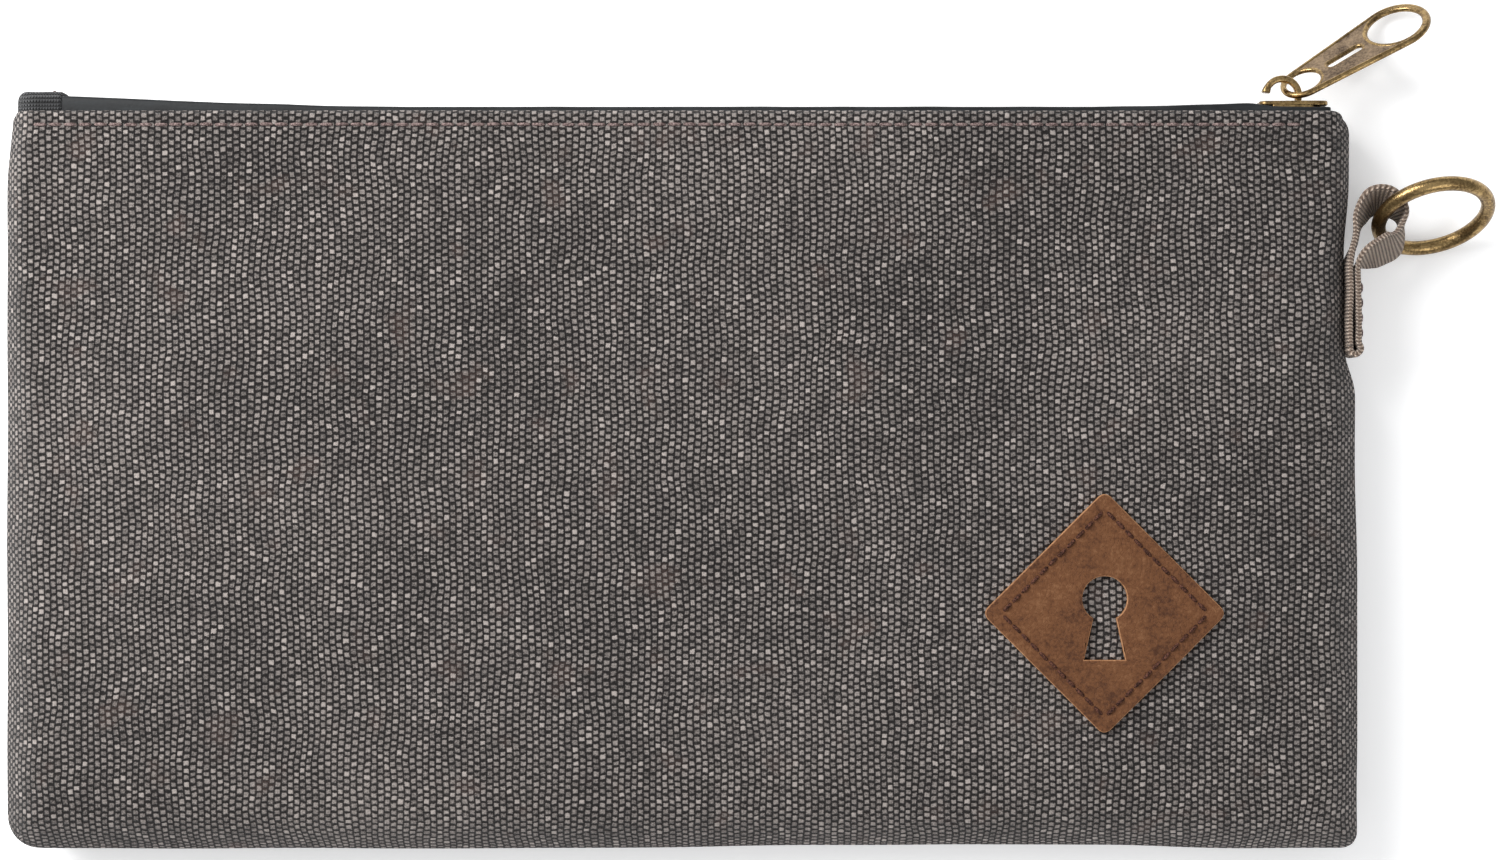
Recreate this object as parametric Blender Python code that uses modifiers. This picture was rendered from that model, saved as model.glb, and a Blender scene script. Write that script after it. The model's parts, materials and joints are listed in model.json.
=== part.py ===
"""Cash deposit bag: a flat zipped canvas bag lying on its back.

Metres, +Z up, +X to the bag's right, +Y towards its mouth. The origin is the middle of the flat
face that it lies on. Dimensions are written in millimetres and turned into metres by MM.
"""

import math

import bmesh
import bpy
from mathutils import Matrix, Vector

MM = 0.001
GAP = 0.3  # air left between two pieces that touch on the real bag

# Bag
HALF_WIDTH = 279.4 / 2  # 11 inches wide
HALF_HEIGHT = 152.4 / 2  # 6 inches high
HALF_DEPTH = 11.5
EDGE_RADIUS = 8.0  # the roll from a face into the side walls
CORNER_RADIUS = 9.0  # bottom corners seen from the front
CANVAS = 1.2
LINING = 0.5
ZIP_Z = HALF_DEPTH  # height of the zip and of the side seams
MOUTH_HALF = 7.4  # half the thickness at the mouth
MOUTH_ROLL = 0.4  # the side roll's width at the mouth, as a share of its full width
TAPER_START = 10.0  # the bag thins from here up to the hem
TAPER_END = 66.0
DENT = 3.3  # how far the hanger pulls the right side in
DENT_START = 18.0
DENT_END = 24.0
FORM_CUTS = (10.0, 18.0, 24.0, 34.0, 44.0, 54.0, 62.0, 66.0)
HINGE_Y = -HALF_HEIGHT  # the bottom seam, about which the mouth opens

# Zip, from the outside inwards
TAPE = 0.6
TAPE_TOP = HALF_HEIGHT + 0.8
TAPE_LEG = 9.0  # how far the tape runs down behind the hem
COIL_HEIGHT = 1.8
COIL_TOP = TAPE_TOP - TAPE - GAP
COIL_REACH = 3.0  # from the middle of the chain to its outer edge
COIL_SPINE = 1.5
COIL_TIP = 0.9  # how far a tooth reaches past the middle
COIL_TOOTH = 0.9
COIL_PITCH = 2.5
COIL_LEFT = -125.2
ZIP_LEFT = -HALF_WIDTH + 4.0
ZIP_RIGHT = HALF_WIDTH - DENT - CANVAS - 1.7
STOP_LENGTH = 1.0

# Slider, standing at the zip's closed end
SLIDER_X = 126.0
SLIDER_LENGTH = 14.0
SLIDER_HALF_WIDTH = 4.7
SLIDER_HALF_NARROW = 3.9  # at the end that the closed chain leaves
PLATE = 1.0
PLATE_CORNER = 1.4
PLATE_BOTTOM = TAPE_TOP + GAP
PLATE_TOP = PLATE_BOTTOM + PLATE
INNER_PLATE = 1.1
INNER_TOP = COIL_TOP - COIL_HEIGHT - GAP
POST_HALF = 1.0
POST_LENGTH = 5.4
FLANGE = 0.9

# Bail, an arch round the puller's axis
PULLER_AXIS = Vector((124.0, PLATE_TOP + 1.4, ZIP_Z))
BAIL_RADIUS = 3.4
BAIL_THICKNESS = 1.1
BAIL_WIDTH = 2.0

# Puller
PULLER_THICKNESS = 1.3
PULLER_REACH = 5.4  # from the axis to the middle of its small hole
PULLER_SPAN = 22.9  # between its two holes
PULLER_EYE = 3.75
PULLER_END = 4.9
GRIP_HOLE = 5.9
GRIP_END = 7.6
PULLER_ANGLE = 31.0  # degrees from the zip's direction
PULLER_DROOP = 8.5
PULLER_LEAN = 54.0  # degrees between its face and straight up

# Webbing hanger and its ring
WEBBING = 1.4
HANGER_WIDTH = 10.0
HANGER_BOTTOM = 26.8
HANGER_SEWN_TOP = 44.7
RING_RADIUS = 11.5  # to the middle of the wire
RING_WIRE = 1.5
RING_PIVOT = Vector((143.9, 52.7, 12.0))
RING_ALONG = Vector((0.985, 0.174, 0.0)).normalized()  # from the pivot to the ring's middle
RING_TANGENT = Vector((-0.090, 0.512, 0.854)).normalized()  # the wire's direction at the pivot
HANGER_EYE = RING_WIRE + 2.0 + WEBBING / 2  # middle of the webbing round the wire
HANGER_EYE_STRETCH = 1.17  # along Y, so that the leaning loop is round about the leaning wire

# Patch
PATCH_SIDE = 35.4
PATCH_CORNER = 1.6
PATCH_THICKNESS = 1.5
PATCH_CENTRE = (86.3, -26.9)
KEYHOLE_RADIUS = 4.6

# Threads, and the tab over the zip's left end
THREAD = 0.25  # radius
HEM_STITCH = 3.0  # from the mouth's edge
PATCH_STITCH = 2.9  # from the patch's edge
END_TAB = 1.2
END_TAB_LEFT = -137.4
END_TAB_RIGHT = -127.5
END_TAB_HALF = 3.6

# Planes for flat outlines: where the outline's own X and Y point
ACROSS_ZIP = Matrix(((0, 0, -1), (0, 1, 0), (1, 0, 0)))  # Z and Y, thickness along X
OVER_ZIP = Matrix(((1, 0, 0), (0, 0, -1), (0, 1, 0)))  # X and Z, thickness along Y
FLAT = Matrix.Identity(3)  # X and Y, thickness along Z

FINISHES = {
    "canvas": ((0.125, 0.112, 0.106), 0.95, 0.0),
    "lining": ((0.03, 0.03, 0.035), 0.6, 0.0),
    "zip_tape": ((0.02, 0.022, 0.025), 0.45, 0.0),
    "coil": ((0.02, 0.02, 0.02), 0.4, 0.0),
    "brass": ((0.36, 0.26, 0.14), 0.38, 1.0),
    "black_webbing": ((0.02, 0.022, 0.025), 0.9, 0.0),
    "webbing": ((0.30, 0.235, 0.19), 0.95, 0.0),
    "leather": ((0.23, 0.105, 0.045), 0.6, 0.0),
    "brown_thread": ((0.10, 0.055, 0.045), 0.8, 0.0),
    "grey_thread": ((0.12, 0.095, 0.09), 0.8, 0.0),
}


def smooth(share):
    share = min(max(share, 0.0), 1.0)
    return share * share * (3 - 2 * share)


def arc(centre, radius, start, end, steps):
    """Points in a plane along an arc, with its angles in degrees."""
    angles = (math.radians(start + (end - start) * i / steps) for i in range(steps + 1))
    return [(centre[0] + radius * math.cos(a), centre[1] + radius * math.sin(a)) for a in angles]


def clear_scene():
    for obj in list(bpy.data.objects):
        bpy.data.objects.remove(obj)


def make_collection(name):
    collection = bpy.data.collections.new(name)
    bpy.context.scene.collection.children.link(collection)
    return collection


def material(name):
    found = bpy.data.materials.get(name)
    if found:
        return found
    colour, roughness, metallic = FINISHES[name]
    made = bpy.data.materials.new(name)
    made.use_nodes = True
    shader = made.node_tree.nodes["Principled BSDF"]
    shader.inputs["Base Color"].default_value = (*colour, 1.0)
    shader.inputs["Roughness"].default_value = roughness
    shader.inputs["Metallic"].default_value = metallic
    return made


def add_object(name, data, finish, collection):
    obj = bpy.data.objects.new(name, data)
    data.materials.append(material(finish))
    collection.objects.link(obj)
    return obj


def mesh_from(bm, name):
    """A mesh in metres from a bmesh in millimetres."""
    mesh = bpy.data.meshes.new(name)
    bm.to_mesh(mesh)
    bm.free()
    mesh.transform(Matrix.Scale(MM, 4))
    return mesh


def box_bmesh(low, high):
    """A box between two corners, from the cube primitive."""
    low, high = Vector(low), Vector(high)
    bm = bmesh.new()
    size = Matrix.Diagonal((*(high - low), 1.0))
    bmesh.ops.create_cube(bm, size=1.0, matrix=Matrix.Translation((low + high) / 2) @ size)
    return bm


def outline_object(name, outlines, thickness, finish, collection, plane=FLAT, centre=(0, 0, 0)):
    """A flat plate from closed outlines, its thickness centred on their plane.

    The first outline is the edge and the others are holes.
    """
    curve = bpy.data.curves.new(name, "CURVE")
    curve.dimensions = "2D"
    curve.fill_mode = "BOTH"
    curve.extrude = thickness / 2 * MM
    for points in outlines:
        spline = curve.splines.new("POLY")
        spline.points.add(len(points) - 1)
        for spot, (x, y) in zip(spline.points, points):
            spot.co = (x * MM, y * MM, 0.0, 1.0)
        spline.use_cyclic_u = True
    obj = add_object(name, curve, finish, collection)
    obj.matrix_world = Matrix.Translation(Vector(centre) * MM) @ plane.to_4x4()
    return obj


def as_mesh(obj):
    """Turns a curve object into a mesh object of the same name, with its caps welded on."""
    bpy.context.view_layer.update()
    graph = bpy.context.evaluated_depsgraph_get()
    mesh = bpy.data.meshes.new_from_object(obj.evaluated_get(graph))
    bm = bmesh.new()
    bm.from_mesh(mesh)
    bmesh.ops.remove_doubles(bm, verts=bm.verts, dist=0.001 * MM)
    bm.to_mesh(mesh)
    bm.free()
    name, world, collection = obj.name, obj.matrix_world.copy(), obj.users_collection[0]
    bpy.data.objects.remove(obj)
    made = bpy.data.objects.new(name, mesh)
    collection.objects.link(made)
    made.matrix_world = world
    return made


def tube_object(name, points, finish, collection, cyclic=False):
    """A thread along a list of points."""
    curve = bpy.data.curves.new(name, "CURVE")
    curve.dimensions = "3D"
    curve.bevel_depth = THREAD * MM
    curve.bevel_resolution = 2
    curve.use_fill_caps = True
    spline = curve.splines.new("POLY")
    spline.points.add(len(points) - 1)
    for spot, point in zip(spline.points, points):
        spot.co = (*(Vector(point) * MM), 1.0)
    spline.use_cyclic_u = cyclic
    return add_object(name, curve, finish, collection)


def hide_cutter(obj):
    obj.hide_render = True
    obj.display_type = "WIRE"
    return obj


def boolean(obj, other, operation="DIFFERENCE"):
    modifier = obj.modifiers.new(operation.title(), "BOOLEAN")
    modifier.operation = operation
    modifier.object = other


# The sewn shell


def half_depth(y):
    """Half the bag's thickness: full over the belly and thinner at the mouth."""
    share = smooth((y - TAPER_START) / (TAPER_END - TAPER_START))
    return HALF_DEPTH + (MOUTH_HALF - HALF_DEPTH) * share


def rounded_box(inset):
    """The bag's untapered form about its own middle, taken in by inset and taller than the mouth."""
    low = Vector((-HALF_WIDTH + inset, -HALF_HEIGHT + inset, -HALF_DEPTH + inset))
    high = Vector((HALF_WIDTH - inset, HALF_HEIGHT + 20.0, HALF_DEPTH - inset))
    bm = box_bmesh(low, high)
    corners = [
        e
        for e in bm.edges
        if abs(e.verts[0].co.z - e.verts[1].co.z) > 1.0 and e.verts[0].co.y < 0
    ]
    bmesh.ops.bevel(
        bm, geom=corners, offset=CORNER_RADIUS - inset, segments=5, affect="EDGES", profile=0.5
    )
    rims = [
        e
        for e in bm.edges
        if abs(e.verts[0].co.z - e.verts[1].co.z) < 0.001
        and min(v.co.y for v in e.verts) < HALF_HEIGHT
    ]
    bmesh.ops.bevel(
        bm, geom=rims, offset=EDGE_RADIUS - inset, segments=5, affect="EDGES", profile=0.5
    )
    return bm


def cut(bm, point, normal, keep_both=False):
    """Cuts with a plane, and drops what lies on the normal's side unless both are kept."""
    bmesh.ops.bisect_plane(
        bm,
        geom=bm.verts[:] + bm.edges[:] + bm.faces[:],
        plane_co=point,
        plane_no=normal,
        clear_outer=not keep_both,
    )


def shell(name, inset, thickness, top, side, finish, collection):
    """One layer of the front (side 1) or back (side -1): a tray open at the seam and the mouth."""
    bm = rounded_box(inset)
    cut(bm, (0, top, 0), (0, 1, 0))
    cut(bm, (0, 0, side * GAP / 2), (0, 0, -side))
    for height in FORM_CUTS:
        cut(bm, (0, height, 0), (0, 1, 0), keep_both=True)
    for vert in bm.verts:
        x, y, z = vert.co
        taper = smooth((y - TAPER_START) / (TAPER_END - TAPER_START))
        roll = min(HALF_WIDTH - inset - abs(x), EDGE_RADIUS - inset)
        x = math.copysign(abs(x) + roll * (1 - MOUTH_ROLL) * taper, x)
        if x > 0:
            x -= DENT * smooth((y - DENT_START) / (DENT_END - DENT_START))
        seam = side * GAP / 2
        full = side * (HALF_DEPTH - inset)
        tapered = side * (half_depth(y) - inset)
        z = seam + (z - seam) * (tapered - seam) / (full - seam)
        vert.co = (x, y, z + ZIP_Z)
    obj = add_object(name, mesh_from(bm, name), finish, collection)
    solidify = obj.modifiers.new("Cloth thickness", "SOLIDIFY")
    solidify.thickness = thickness * MM
    solidify.offset = -1.0
    solidify.use_even_offset = True


def add_shells(parts):
    lining_inset = CANVAS + GAP + TAPE + GAP
    lining_top = INNER_TOP - INNER_PLATE - 0.9
    for label, side in (("front", 1), ("back", -1)):
        shell(f"{label}_panel", 0.0, CANVAS, HALF_HEIGHT, side, "canvas", parts)
        shell(f"{label}_lining", lining_inset, LINING, lining_top, side, "lining", parts)


# The zip


def add_tapes(parts, cutters):
    """Each tape lies over the mouth and turns down behind its hem, cut back round the slider's post."""
    tip = SLIDER_X + 0.6 - GAP
    half = POST_HALF + GAP
    end = ZIP_RIGHT + 5.0
    throat = [(tip, 0.0), (tip + 3.0, -half), (end, -half), (end, half), (tip + 3.0, half)]
    cutter = outline_object(
        "throat_cutter", [throat], 4.0, "zip_tape", cutters, OVER_ZIP, (0, TAPE_TOP, ZIP_Z)
    )
    cutter = hide_cutter(as_mesh(cutter))
    fold = MOUTH_HALF - CANVAS - GAP
    bend = 1.2
    centre = (fold - bend, TAPE_TOP - bend)
    section = [(fold, TAPE_TOP - TAPE_LEG), *arc(centre, bend, 0, 90, 4), (GAP / 2, TAPE_TOP)]
    section += [(GAP / 2, TAPE_TOP - TAPE), *arc(centre, bend - TAPE, 90, 0, 4)]
    section += [(fold - TAPE, TAPE_TOP - TAPE_LEG)]
    for label, side in (("front", 1), ("back", -1)):
        points = [(side * across, y) for across, y in section]
        tape = outline_object(
            f"zipper_tape_{label}",
            [points],
            ZIP_RIGHT - ZIP_LEFT,
            "zip_tape",
            parts,
            ACROSS_ZIP,
            ((ZIP_LEFT + ZIP_RIGHT) / 2, 0, ZIP_Z),
        )
        boolean(as_mesh(tape), cutter)


def add_coils(parts):
    """Each coil is a comb whose teeth lie between the other's."""
    count = int((SLIDER_X - COIL_LEFT) / COIL_PITCH) - 1
    end = COIL_LEFT + count * COIL_PITCH + 1.5
    for label, side, shift in (("front", 1, 0.0), ("back", -1, COIL_PITCH / 2)):
        points = [(COIL_LEFT, side * COIL_REACH), (COIL_LEFT, side * COIL_SPINE)]
        for i in range(count):
            x = COIL_LEFT + 0.6 + shift + i * COIL_PITCH
            points += [(x, side * COIL_SPINE), (x, -side * COIL_TIP)]
            points += [(x + COIL_TOOTH, -side * COIL_TIP), (x + COIL_TOOTH, side * COIL_SPINE)]
        points += [(end, side * COIL_SPINE), (end, side * COIL_REACH)]
        outline_object(
            f"zipper_coil_{label}",
            [points],
            COIL_HEIGHT,
            "coil",
            parts,
            OVER_ZIP,
            (0, COIL_TOP - COIL_HEIGHT / 2, ZIP_Z),
        )


def add_stops(parts):
    """Two small stops where the slider parks, and one across both chains at the other end."""
    high = COIL_TOP
    low = COIL_TOP - COIL_HEIGHT + GAP
    right = ZIP_RIGHT - STOP_LENGTH - 0.2
    spans = {
        "zipper_top_stop_front": (right, 0.5, 2.8),
        "zipper_top_stop_back": (right, -2.8, -0.5),
        "zipper_bottom_stop": (COIL_LEFT - GAP - STOP_LENGTH, -2.8, 2.8),
    }
    for name, (x, near, far) in spans.items():
        bm = box_bmesh((x, low, ZIP_Z + near), (x + STOP_LENGTH, high, ZIP_Z + far))
        add_object(name, mesh_from(bm, name), "brass", parts)


def add_end_tab(parts):
    """Webbing folded round the zip's left end, with a line of stitching across it."""
    high = TAPE_TOP + GAP
    low = TAPE_TOP - TAPE - GAP
    inner = (high - low) / 2
    fold = (END_TAB_LEFT + inner + END_TAB, (high + low) / 2)
    points = [(END_TAB_RIGHT, high + END_TAB), *arc(fold, inner + END_TAB, 90, 270, 10)]
    points += [(END_TAB_RIGHT, low - END_TAB), (END_TAB_RIGHT, low)]
    points += [*arc(fold, inner, 270, 90, 8), (END_TAB_RIGHT, high)]
    outline_object(
        "zipper_end_tab", [points], 2 * END_TAB_HALF, "black_webbing", parts, FLAT, (0, 0, ZIP_Z)
    )
    x = END_TAB_RIGHT - 1.6
    y = high + END_TAB + GAP + THREAD
    reach = END_TAB_HALF - 0.6
    ends = [(x, y, ZIP_Z - reach), (x, y, ZIP_Z + reach)]
    tube_object("end_tab_thread", ends, "grey_thread", parts)


# The slider and its puller


def slider_plate(name, low, high, collection):
    """One of the slider's plates, narrower where the closed chain leaves it."""
    left = SLIDER_X - SLIDER_LENGTH / 2
    right = SLIDER_X + SLIDER_LENGTH / 2
    r = PLATE_CORNER
    half = arc((left + r, SLIDER_HALF_NARROW - r), r, 180, 90, 4)
    half += [(SLIDER_X + 1.0, SLIDER_HALF_WIDTH)]
    half += arc((right - r, SLIDER_HALF_WIDTH - r), r, 90, 0, 4)
    points = half + [(x, -z) for x, z in reversed(half)]
    plate = outline_object(
        name, [points], high - low, "brass", collection, OVER_ZIP, (0, (low + high) / 2, ZIP_Z)
    )
    return as_mesh(plate)


def add_slider(parts, cutters):
    """Two plates joined by the post, with flanges that hold the chains in."""
    body = slider_plate("slider_body", PLATE_BOTTOM, PLATE_TOP, parts)
    inner = slider_plate("inner_plate", INNER_TOP - INNER_PLATE, INNER_TOP, cutters)
    boolean(body, hide_cutter(inner), "UNION")
    tip = SLIDER_X + 0.6
    back = tip + POST_LENGTH
    post = [(tip, 0), (tip + 3.0, -POST_HALF), (back - 1.4, -POST_HALF), (back, 0)]
    post += [(back - 1.4, POST_HALF), (tip + 3.0, POST_HALF)]
    height = PLATE_BOTTOM - INNER_TOP + 1.0
    middle = (PLATE_BOTTOM + INNER_TOP) / 2
    solid = outline_object(
        "slider_post", [post], height, "brass", cutters, OVER_ZIP, (0, middle, ZIP_Z)
    )
    boolean(body, hide_cutter(as_mesh(solid)), "UNION")
    for label, side in (("front", 1), ("back", -1)):
        near, far = sorted((side * (COIL_REACH + GAP), side * (COIL_REACH + GAP + FLANGE)))
        low = (SLIDER_X - SLIDER_LENGTH / 2 + 1.6, INNER_TOP - 0.5, ZIP_Z + near)
        high = (SLIDER_X + SLIDER_LENGTH / 2 - 1.6, COIL_TOP, ZIP_Z + far)
        name = f"flange_{label}"
        rail = add_object(name, mesh_from(box_bmesh(low, high), name), "brass", cutters)
        boolean(body, hide_cutter(rail), "UNION")


def add_bail(parts):
    """The arch that carries the puller, rooted on the right with an open hook on the left."""
    outer = arc(PULLER_AXIS, BAIL_RADIUS + BAIL_THICKNESS / 2, -16, 170, 22)
    inner = arc(PULLER_AXIS, BAIL_RADIUS - BAIL_THICKNESS / 2, 170, -16, 22)
    outline_object(
        "slider_bail", [outer + inner], BAIL_WIDTH, "brass", parts, FLAT, (0, 0, ZIP_Z)
    )


def puller_axes():
    """Along the puller, across it, and out of its upper face."""
    turn, droop, lean = (math.radians(a) for a in (PULLER_ANGLE, PULLER_DROOP, PULLER_LEAN))
    ahead = Vector((math.cos(turn), math.sin(turn), 0))
    up = Vector((0, 0, 1))
    along = math.cos(droop) * ahead - math.sin(droop) * up
    above = math.sin(droop) * ahead + math.cos(droop) * up
    aside = above.cross(along)
    face = math.cos(lean) * above + math.sin(lean) * aside
    return along, face.cross(along), face


def add_puller(parts):
    """A flat tapered plate with a round hole at each end and a plain slot between them."""
    taper = math.degrees(math.asin((GRIP_END - PULLER_END) / PULLER_SPAN))
    edge = arc((PULLER_SPAN, 0), GRIP_END, -90 - taper, 90 + taper, 20)
    edge += arc((0, 0), PULLER_END, 90 + taper, 270 - taper, 16)
    eye = arc((0, 0), PULLER_EYE, 0, 345, 23)
    grip = arc((PULLER_SPAN, 0), GRIP_HOLE, 0, 348, 29)
    slot = arc((13.6, 0), 1.2, -90, 90, 6) + arc((7.2, 0), 1.2, 90, 270, 6)
    along, across, face = puller_axes()
    plane = Matrix((along, across, face)).transposed()
    centre = PULLER_AXIS + along * PULLER_REACH
    outline_object(
        "puller", [edge, eye, grip, slot], PULLER_THICKNESS, "brass", parts, plane, centre
    )


# The hanger and its ring


def hanger_path():
    """Points round the band of webbing in the XY plane, and how far each has turned to the ring."""
    inner_x = HALF_WIDTH - DENT + GAP + WEBBING / 2
    outer_x = inner_x + WEBBING + GAP
    rise = (HANGER_SEWN_TOP - HANGER_BOTTOM) / 4
    sewn = [HANGER_BOTTOM + i * rise for i in range(5)]
    band = [(inner_x, y) for y in sewn]
    eye = arc((0, 0), HANGER_EYE, 187, -45, 14)
    band += [(RING_PIVOT.x + x, RING_PIVOT.y + y * HANGER_EYE_STRETCH) for x, y in eye]
    band += [(outer_x + 0.5, HANGER_SEWN_TOP + 1.2)]
    band += [(outer_x, y) for y in reversed(sewn)]
    middle = ((inner_x + outer_x) / 2, HANGER_BOTTOM)
    band += arc(middle, (outer_x - inner_x) / 2, -45, -135, 2)
    return [(Vector((x, y, 0)), smooth((y - HANGER_SEWN_TOP - 1.2) / 4.0)) for x, y in band]


def add_hanger(parts):
    """A loft round the band, whose width turns from upright to the ring wire's direction."""
    path = hanger_path()
    bm = bmesh.new()
    rings = []
    for i, (point, share) in enumerate(path):
        before, after = path[i - 1][0], path[(i + 1) % len(path)][0]
        along = (after - before).normalized()
        width = Vector((0, 0, 1)).lerp(RING_TANGENT, share)
        width = (width - along * width.dot(along)).normalized()
        out = along.cross(width)
        centre = point + Vector((0, 0, ZIP_Z + (RING_PIVOT.z - ZIP_Z) * share))
        corners = [(-1, -1), (1, -1), (1, 1), (-1, 1)]
        rings.append(
            [
                bm.verts.new(centre + width * (a * HANGER_WIDTH / 2) + out * (b * WEBBING / 2))
                for a, b in corners
            ]
        )
    for i, ring in enumerate(rings):
        following = rings[(i + 1) % len(rings)]
        for k in range(4):
            m = (k + 1) % 4
            bm.faces.new((ring[k], ring[m], following[m], following[k]))
    bmesh.ops.triangulate(bm, faces=bm.faces)
    bmesh.ops.recalc_face_normals(bm, faces=bm.faces)
    add_object("hanger_webbing", mesh_from(bm, "hanger_webbing"), "webbing", parts)
    x = HALF_WIDTH - DENT + 2 * (GAP + WEBBING) + GAP + THREAD
    ends = [(x, HANGER_BOTTOM + 2.0, ZIP_Z), (x, HANGER_SEWN_TOP - 2.0, ZIP_Z)]
    tube_object("hanger_thread", ends, "grey_thread", parts)


def add_ring(parts):
    """A torus whose origin is on its wire, where it hangs in the webbing."""
    bpy.ops.mesh.primitive_torus_add(
        major_segments=48,
        minor_segments=12,
        major_radius=RING_RADIUS * MM,
        minor_radius=RING_WIRE * MM,
    )
    ring = bpy.context.active_object
    ring.name = "hanger_ring"
    for collection in list(ring.users_collection):
        collection.objects.unlink(ring)
    parts.objects.link(ring)
    ring.data.materials.append(material("brass"))
    ring.data.shade_smooth()
    tangent = (RING_TANGENT - RING_ALONG * RING_TANGENT.dot(RING_ALONG)).normalized()
    plane = Matrix((RING_ALONG, tangent, RING_ALONG.cross(tangent))).transposed()
    ring.data.transform(Matrix.Translation((RING_RADIUS * MM, 0, 0)))
    ring.matrix_world = Matrix.Translation(RING_PIVOT * MM) @ plane.to_4x4()


# The patch and the hem's threads


def diamond():
    """A square with rounded corners, standing on one of them."""
    near = PATCH_SIDE / 2 - PATCH_CORNER
    points = []
    for quarter, (x, y) in enumerate(((near, near), (-near, near), (-near, -near), (near, -near))):
        points += arc((x, y), PATCH_CORNER, 90 * quarter, 90 * quarter + 90, 4)
    turn = math.sqrt(0.5)
    return [((x - y) * turn, (x + y) * turn) for x, y in points]


def keyhole():
    """A round head over a flared foot."""
    head = arc((0, 3.0), KEYHOLE_RADIUS, -60, 240, 20)
    return head + [(-4.2, -9.5), (4.2, -9.5)]


def add_patch(parts):
    """A leather diamond with a keyhole cut through it, stitched on near its edge."""
    x, y = PATCH_CENTRE
    low = 2 * HALF_DEPTH + GAP
    centre = (x, y, low + PATCH_THICKNESS / 2)
    outline_object(
        "leather_patch", [diamond(), keyhole()], PATCH_THICKNESS, "leather", parts, FLAT, centre
    )
    reach = (PATCH_SIDE / 2 - PATCH_STITCH) * math.sqrt(2)
    z = low + PATCH_THICKNESS + GAP + THREAD
    loop = [(x + reach, y, z), (x, y + reach, z), (x - reach, y, z), (x, y - reach, z)]
    tube_object("patch_thread", loop, "brown_thread", parts, cyclic=True)


def add_hem_threads(parts):
    y = HALF_HEIGHT - HEM_STITCH
    left = -HALF_WIDTH + EDGE_RADIUS + 1.0
    right = HALF_WIDTH - DENT - EDGE_RADIUS - 1.0
    for label, side in (("front", 1), ("back", -1)):
        z = ZIP_Z + side * (MOUTH_HALF + GAP + THREAD)
        tube_object(f"hem_thread_{label}", [(left, y, z), (right, y, z)], "grey_thread", parts)


# What moves together


PIVOTS = {
    "mouth_hinge": (
        (0.0, HINGE_Y, ZIP_Z),
        (
            "front_panel",
            "front_lining",
            "zipper_tape_front",
            "zipper_coil_front",
            "zipper_top_stop_front",
            "leather_patch",
            "patch_thread",
            "hem_thread_front",
        ),
    ),
    "puller_pivot": (PULLER_AXIS, ("puller",)),
    "slider_carrier": ((SLIDER_X, PLATE_BOTTOM, ZIP_Z), ("slider_body", "slider_bail", "puller_pivot")),
}


def add_pivots(parts):
    """Empties on the joints' axes, each carrying the pieces that move about it."""
    for name, (place, children) in PIVOTS.items():
        pivot = bpy.data.objects.new(name, None)
        pivot.empty_display_size = 10 * MM
        pivot.location = Vector(place) * MM
        parts.objects.link(pivot)
        for child in children:
            carried = bpy.data.objects[child]
            carried.parent = pivot
            carried.matrix_parent_inverse = Matrix.Translation(-pivot.location)


def main():
    clear_scene()
    parts = make_collection("Cash deposit bag")
    cutters = make_collection("Cutters")
    add_shells(parts)
    add_tapes(parts, cutters)
    add_coils(parts)
    add_stops(parts)
    add_end_tab(parts)
    add_slider(parts, cutters)
    add_bail(parts)
    add_puller(parts)
    add_hanger(parts)
    add_ring(parts)
    add_patch(parts)
    add_hem_threads(parts)
    add_pivots(parts)


main()
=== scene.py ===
import json
import math

import bmesh
import bpy
import numpy as np
from mathutils import Matrix, Vector, noise


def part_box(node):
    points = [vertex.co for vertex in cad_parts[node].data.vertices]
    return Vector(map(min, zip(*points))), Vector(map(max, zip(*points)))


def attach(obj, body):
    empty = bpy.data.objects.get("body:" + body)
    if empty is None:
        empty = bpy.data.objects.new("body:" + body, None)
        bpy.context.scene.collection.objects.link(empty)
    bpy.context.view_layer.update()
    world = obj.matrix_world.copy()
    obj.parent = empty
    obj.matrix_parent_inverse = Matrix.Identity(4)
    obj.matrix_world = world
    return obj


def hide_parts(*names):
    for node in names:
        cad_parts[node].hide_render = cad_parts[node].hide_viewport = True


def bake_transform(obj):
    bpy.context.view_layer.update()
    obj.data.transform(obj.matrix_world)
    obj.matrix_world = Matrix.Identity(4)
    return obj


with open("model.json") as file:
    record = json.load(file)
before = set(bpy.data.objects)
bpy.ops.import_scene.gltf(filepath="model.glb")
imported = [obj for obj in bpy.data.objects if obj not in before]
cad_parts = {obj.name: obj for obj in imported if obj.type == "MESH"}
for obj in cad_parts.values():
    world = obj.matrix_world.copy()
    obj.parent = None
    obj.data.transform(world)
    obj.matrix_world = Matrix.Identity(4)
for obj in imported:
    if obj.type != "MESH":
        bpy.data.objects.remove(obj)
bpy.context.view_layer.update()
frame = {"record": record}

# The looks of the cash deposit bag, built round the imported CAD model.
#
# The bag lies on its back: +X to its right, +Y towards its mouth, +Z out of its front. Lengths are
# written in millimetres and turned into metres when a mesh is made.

MM = 0.001


def node_box(node):
    """A CAD node's lowest and highest corners, in millimetres."""
    low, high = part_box(node)
    return low / MM, high / MM


def joint(name):
    return next(j for j in frame["record"]["behaviour"]["joints"] if j["name"] == name)


# Places that the CAD model sets

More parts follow.
